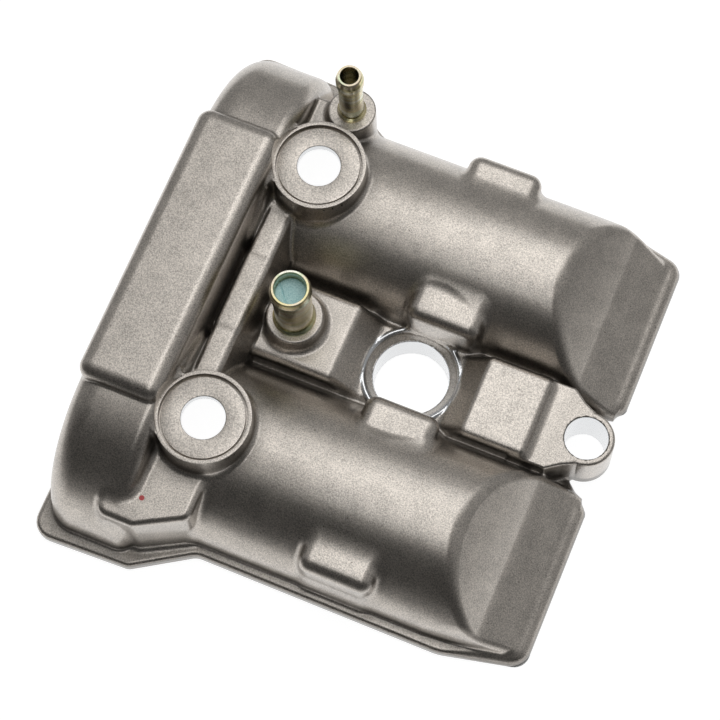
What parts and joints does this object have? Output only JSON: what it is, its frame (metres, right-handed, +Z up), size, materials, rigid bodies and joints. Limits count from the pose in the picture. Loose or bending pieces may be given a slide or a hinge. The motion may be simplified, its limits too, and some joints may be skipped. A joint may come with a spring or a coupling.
{
  "type": "engine valve cover",
  "caption": "Die-cast valve cover of a twin-cam single-cylinder engine, with camshaft barrels, a spark-plug well, bolt bosses and hose unions.",
  "frame": {"origin": "axis of the spark-plug bore at the gasket face", "axes": "+Z up out of the engine, +X along the camshafts from the chain end to the lug end, +Y across them towards the air union"},
  "size_m": [0.1762, 0.197, 0.0651],
  "materials": {
    "painted_casting": "satin",
    "yellow_zinc": "satin",
    "teal_plug": "matte",
    "plain_zinc": "satin"
  },
  "bodies": {
    "root": {"cover_casting": "painted_casting", "breather_union": "yellow_zinc", "air_union": "yellow_zinc", "union_plug": "teal_plug", "breather_baffle": "plain_zinc", "baffle_screws": "plain_zinc"}
  },
  "joints": []
}
